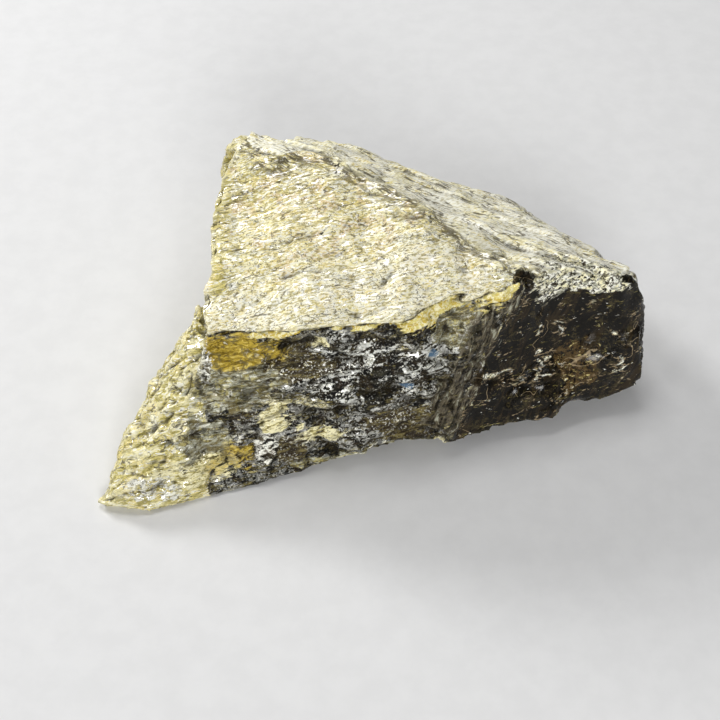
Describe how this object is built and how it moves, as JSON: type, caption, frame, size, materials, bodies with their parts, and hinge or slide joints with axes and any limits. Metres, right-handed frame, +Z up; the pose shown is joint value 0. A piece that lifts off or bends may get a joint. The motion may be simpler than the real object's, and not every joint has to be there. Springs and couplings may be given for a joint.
{
  "type": "rough labradorite stone",
  "caption": "Rough broken chunk of labradorite with a broad sloping cleaved top, a steep front and a thin wedge end, for display or as raw stone",
  "frame": {"origin": "centre of the bounding box in plan, on the resting plane", "axes": "+X along the longest extent, +Z up out of the resting plane, -Y towards the steep front face"},
  "size_m": [0.08, 0.066, 0.0335],
  "materials": {
    "stone": "broken and cleaved, pearly to glassy"
  },
  "bodies": {
    "root": {"labradorite_chunk": "stone"}
  },
  "joints": []
}
